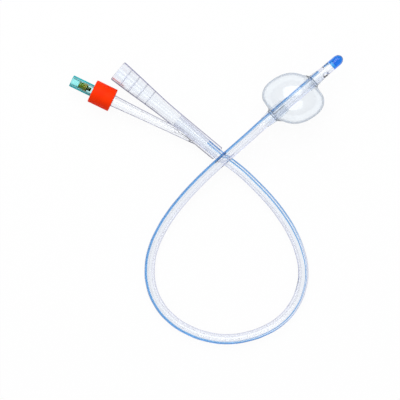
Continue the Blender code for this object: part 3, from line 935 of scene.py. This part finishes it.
cuff_bore = SHAFT_R + FIT
swell = balloon_side(
    BALLOON_HALF_L, BALLOON_R, NEAR_CUFF_R + SHOULDER_TOP, FAR_CUFF_R + SHOULDER_TOP
)
swell_inside = balloon_side(
    BALLOON_HALF_L - BALLOON_WALL,
    BALLOON_R - BALLOON_WALL,
    NEAR_CUFF_R + SHOULDER_TOP_INSIDE,
    FAR_CUFF_R + SHOULDER_TOP_INSIDE,
)
balloon_profile = [
    (NEAR_CUFF_START, cuff_bore + CUFF_LIP),
    (NEAR_CUFF_FULL, NEAR_CUFF_R),
    *[(-BALLOON_HALF_L - past, NEAR_CUFF_R + rise) for past, rise in CUFF_SHOULDER],
    *swell,
    *[(BALLOON_HALF_L + past, FAR_CUFF_R + rise) for past, rise in reversed(CUFF_SHOULDER)],
    (FAR_CUFF_FULL, FAR_CUFF_R),
    (FAR_CUFF_STOP, cuff_bore + CUFF_LIP),
    (FAR_CUFF_STOP, cuff_bore),
    (FAR_CUFF_END, cuff_bore),
    (FAR_CUFF_END, FAR_CUFF_R),
    *reversed(swell_inside),
    (NEAR_CUFF_END, NEAR_CUFF_R),
    (NEAR_CUFF_END, cuff_bore),
    (NEAR_CUFF_START, cuff_bore),
]
balloon_mesh = lathe(balloon_profile, BALLOON_SIDES, balloon_axis, leaning)
balloon = shown("inflated_balloon", balloon_mesh, balloon_silicone)


# The connector

funnel_outside = rounded(
    [
        (-CONNECTOR_L, 0),
        (-CONNECTOR_L, MOUTH_OUTER_R),
        *eased([
            (-CONNECTOR_L + MOUTH_RIM_L, MOUTH_OUTER_R),
            *[(-back, radius) for back, radius in FUNNEL_SIDE],
        ]),
        (0, TRUNK_R),
        (0, 0),
    ],
    EDGE_R,
)
arm_outside = [(ARM_SIDE[0][0], 0), *eased(ARM_SIDE), (ARM_L, ARM_END_R), (ARM_L, 0)]
outside = scratch("outside", lathe(funnel_outside, FUNNEL_SIDES, connector_axis))
arm_solid = scratch("arm_solid", lathe(arm_outside, ARM_SIDES, arm_axis))
outside_mesh = cut(outside, arm_solid, operation="UNION")

drain_wide = DRAIN_R * FLARED_DRAIN
mouth_slope = (MOUTH_BORE_R - drain_wide) / (CONNECTOR_L - SHAFT_DEPTH)


def bore_radius(back):
    return drain_wide + mouth_slope * (back - SHAFT_DEPTH)


funnel_bore = [
    (-CONNECTOR_L - CUT_PAST, 0),
    (-CONNECTOR_L - CUT_PAST, bore_radius(CONNECTOR_L + CUT_PAST)),
    (-SHAFT_DEPTH - FIT, drain_wide),
    (-SHAFT_DEPTH - FIT, SHAFT_R * FLARED_SHAFT + FIT),
    (-FLARE_MIDDLE, SHAFT_R * flared(FLARED_SHAFT, FLARE_MIDDLE) + FIT),
    (-FLARE_END, SHAFT_R + FIT),
    (CUT_PAST, SHAFT_R + FIT),
    (CUT_PAST, 0),
]
arm_bore = [
    (ARM_BORE_SIDE[0][0], 0),
    *eased(ARM_BORE_SIDE),
    (ARM_BORE_SIDE[-1][0], NIPPLE_SEAT_R),
    (ARM_L + CUT_PAST, NIPPLE_SEAT_R),
    (ARM_L + CUT_PAST, 0),
]
meet_angle = math.radians(FILL_FROM_STRIPE - TURN_AT_MEETING)
meet = (
    -MEETING_BACK,
    -MEETING_OFF_AXIS * math.sin(meet_angle),
    MEETING_OFF_AXIS * math.cos(meet_angle),
)
arm_turn = math.radians(ARM_ANGLE)
way_start = (-ARM_APEX - WAY_FROM * math.cos(arm_turn), -WAY_FROM * math.sin(arm_turn), 0)
first_ring = CONNECTOR_L - RIB_PITCH
rings = scratch("rings", bpy.data.meshes.new("rings"))
modifier = rings.modifiers.new("rings", "NODES")
modifier.node_group = rings_in_funnel
set_inputs(
    modifier,
    count=RIB_COUNT,
    sides=RIB_SIDES,
    first=-first_ring * MM,
    pitch=RIB_PITCH * MM,
    bore_radius=bore_radius(first_ring) * MM,
    slope=mouth_slope,
    height=RIB_H * MM,
    half_width=RIB_HALF_W * MM,
    finish=moulded_silicone,
)
rings_mesh = outward_faces(as_mesh(rings))
rings_mesh.transform(connector_axis)
bored_mesh = cut(
    scratch("connector", outside_mesh),
    scratch("bore", lathe(funnel_bore, BORE_SIDES, connector_axis)),
    scratch("arm_bore", lathe(arm_bore, ARM_BORE_SIDES, arm_axis)),
    rod(way_start, meet, WAY_R, WAY_SIDES, connector_axis),
)
bored = scratch("bored", bored_mesh)
connector_mesh = cut(bored, scratch("rings", rings_mesh), operation="UNION")
y_connector = shown("funnel_and_arm", connector_mesh, moulded_silicone)


# The bores' walls get fainter painted-shade outlines than the outside, and their rings stand out with painted
# grey and darker painted-shade outlines

def finish_bore(finish, start, end, outer):
    finish_faces(y_connector, finish, connector_axis, start, end, outer)


finish_faces(
    y_connector, bore_silicone, arm_axis, ARM_BORE_CLEAR_FROM, ARM_L, NIPPLE_SEAT_R + NEAR_WALL / 2
)
tube_seat_r = SHAFT_R * FLARED_SHAFT + SEAT_MARGIN
finish_bore(bore_silicone, -SHAFT_DEPTH - SEAT_END, -SEAT_END, tube_seat_r)
for back in range(math.ceil(SHAFT_DEPTH), math.floor(CONNECTOR_L)):
    finish_bore(bore_silicone, -back - 1, -back, bore_radius(back + 1))
for i in range(RIB_COUNT):
    back = first_ring - i * RIB_PITCH
    inner_r = bore_radius(back) - NEAR_WALL
    finish_bore(ring_silicone, -back - RIB_HALF_W, -back + RIB_HALF_W, inner_r)


# The sleeve and the valve

sleeve_profile = rounded(
    [
        (SLEEVE_TO, VALVE_R + FIT),
        (SLEEVE_FROM + SLEEVE_STEP, VALVE_R + FIT),
        (SLEEVE_FROM + SLEEVE_STEP, ARM_END_R + FIT),
        (SLEEVE_FROM, ARM_END_R + FIT),
        (SLEEVE_FROM, SLEEVE_R),
        (SLEEVE_TO, SLEEVE_R),
        (SLEEVE_TO, VALVE_R + FIT),
    ],
    EDGE_R,
)[:-1]
sleeve_mesh = lathe(sleeve_profile, SLEEVE_SIDES, arm_axis)
colour_sleeve = shown("orange_sleeve", sleeve_mesh, orange_silicone)

throat_r = LUER_R - LUER_TAPER * LUER_DEPTH
throat_end = VALVE_TO - LUER_DEPTH - THROAT_L
housing_profile = [
    (VALVE_FROM, VALVE_R),
    (VALVE_TO - VALVE_EDGE, VALVE_R),
    (VALVE_TO, VALVE_R - VALVE_EDGE),
    (VALVE_TO, LUER_R),
    (VALVE_TO - LUER_DEPTH, throat_r),
    (throat_end, throat_r),
    (throat_end, CHAMBER_R),
    (VALVE_FROM, CHAMBER_R),
]
valve_housing = shown("luer_valve", lathe(housing_profile, HOUSING_SIDES, arm_axis), teal_plastic)

base_profile = [
    (NIPPLE_END, NIPPLE_R - NIPPLE_NOSE),
    *[(along, NIPPLE_R - depth) for along, depth in NIPPLE_BARBS],
    (VALVE_FROM + FIT, NIPPLE_R),
    (VALVE_FROM + FIT, CHAMBER_R - FIT),
    (BASE_TOP, CHAMBER_R - FIT),
    (BASE_TOP, NIPPLE_BORE_R),
    (NIPPLE_END, NIPPLE_BORE_R),
]
valve_base = shown("valve_nipple", lathe(base_profile, BASE_SIDES, arm_axis), teal_plastic)

head_front = VALVE_TO - LUER_DEPTH
head_back = head_front - HEAD_L
head_r = throat_r - HEAD_FIT
flange_r = CHAMBER_R - FLANGE_FIT
stem_end = BASE_TOP + PLUNGER_TRAVEL + STEM_CLEAR
plunger_profile = [
    (stem_end, 0),
    (stem_end, STEM_R - STEM_EDGE),
    (stem_end + STEM_EDGE, STEM_R),
    (head_back, STEM_R),
    *[(head_back + past, flange_r - inward) for past, inward in FLANGE_BACK],
    (throat_end - FIT, flange_r),
    (throat_end - FIT, head_r),
    (head_front - HEAD_EDGE, head_r),
    (head_front, head_r - HEAD_EDGE),
    (head_front, 0),
]
valve_plunger = shown("valve_core", lathe(plunger_profile, PLUNGER_SIDES, arm_axis), olive_rubber)
# The stem and the back of the flange are coloured darker than the rest of the plunger.
dark_to = head_back + STEM_DARK_TO
finish_faces(valve_plunger, dark_rubber, arm_axis, stem_end - 1, dark_to, flange_r - DARK_INSIDE)


# Floor and light

FLOOR_REACH = 6.0
SHEET_BAND = (0.15, 0.8)  # metres from the middle, over which the sheet gets darker
SHEET_NEAR, SHEET_FAR = (0.86, 0.86, 0.86), (0.3, 0.3, 0.36)
GLOW_NEAR, GLOW_FAR = 0.94, 0.4  # how much of the sheet is white as clear pieces show it
GLOW_SEEN = 0.95  # and as the camera sees it
SKY_BAND = (0.0, 0.8)  # height in the sky, as a share
SKY_LOW = (0.5, 0.5, 0.6)
SKY_STRENGTH = 0.65

floor_mesh = bpy.data.meshes.new("floor")
corners = [(-1, -1), (1, -1), (1, 1), (-1, 1)]
corners = [(x * FLOOR_REACH, y * FLOOR_REACH, 0) for x, y in corners]
floor_mesh.from_pydata(corners, [], [(0, 1, 2, 3)])
floor = bpy.data.objects.new("floor", floor_mesh)
bpy.context.scene.collection.objects.link(floor)


def mixed(tree, share, first, second, out):
    """Two shaders mixed by a share, into the output's surface."""
    parts = (share, first.outputs[0], second.outputs[0])
    tree.links.new(fed(tree, node(tree, "ShaderNodeMixShader"), parts), out.inputs["Surface"])


def paper_material():
    made = bpy.data.materials.new("paper")
    made.use_nodes = True
    tree = made.node_tree
    tree.nodes.clear()
    out = node(tree, "ShaderNodeOutputMaterial")
    far = node(tree, "ShaderNodeVectorMath", operation="LENGTH")
    tree.links.new(node(tree, "ShaderNodeTexCoord").outputs["Object"], far.inputs[0])
    distance = far.outputs["Value"]
    diffuse = node(tree, "ShaderNodeBsdfDiffuse")
    tree.links.new(ramp(tree, distance, SHEET_BAND, SHEET_NEAR, SHEET_FAR), diffuse.inputs["Color"])
    ray = node(tree, "ShaderNodeLightPath").outputs
    through = maths(tree, "MAXIMUM", ray["Is Transmission Ray"], ray["Is Glossy Ray"])
    shown_through = maths(
        tree, "MULTIPLY", through, spread(tree, distance, GLOW_NEAR, GLOW_FAR, *SHEET_BAND)
    )
    seen = maths(tree, "MULTIPLY", ray["Is Camera Ray"], GLOW_SEEN)
    share = maths(tree, "MAXIMUM", seen, shown_through)
    mixed(tree, share, diffuse, node(tree, "ShaderNodeEmission"), out)
    return made


def studio_world():
    """A soft sky that is darker at the horizon, and white where the camera sees it."""
    made = bpy.data.worlds.new("studio")
    made.use_nodes = True
    tree = made.node_tree
    tree.nodes.clear()
    out = node(tree, "ShaderNodeOutputWorld")
    split = node(tree, "ShaderNodeSeparateXYZ")
    tree.links.new(node(tree, "ShaderNodeTexCoord").outputs["Generated"], split.inputs[0])
    sky = node(tree, "ShaderNodeBackground", Strength=SKY_STRENGTH)
    tree.links.new(ramp(tree, split.outputs["Z"], SKY_BAND, SKY_LOW, WHITE), sky.inputs["Color"])
    white = node(tree, "ShaderNodeBackground", Color=(*WHITE, 1))
    camera_ray = node(tree, "ShaderNodeLightPath").outputs["Is Camera Ray"]
    mixed(tree, camera_ray, sky, white, out)
    return made


def softbox(name, at, side, watts):
    lamp = bpy.data.lights.new(name, "AREA")
    lamp.shape = "SQUARE"
    lamp.size = side
    lamp.energy = watts
    thing = bpy.data.objects.new(name, lamp)
    thing.location = at
    thing.rotation_euler = (Vector((0, 0, 0)) - Vector(at)).to_track_quat("-Z", "Y").to_euler()
    bpy.context.scene.collection.objects.link(thing)


floor_mesh.materials.append(paper_material())
bpy.context.scene.world = studio_world()
softbox("softbox", at=(-0.5, 0.5, 1.1), side=1.2, watts=13)

bpy.context.scene.view_settings.view_transform = "Standard"


# What rides on what

for piece in (shaft, stripe, stripe_end, tip, balloon, y_connector, colour_sleeve, valve_housing, valve_base):
    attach(piece, "catheter")
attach(valve_plunger, "plunger")
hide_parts("shaft")
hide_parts("radiopaque_stripe")
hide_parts("radiopaque_stripe_end")
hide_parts("tip")
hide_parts("balloon")
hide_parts("y_connector")
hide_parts("colour_sleeve")
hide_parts("valve_housing")
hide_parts("valve_base")
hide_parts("valve_plunger")
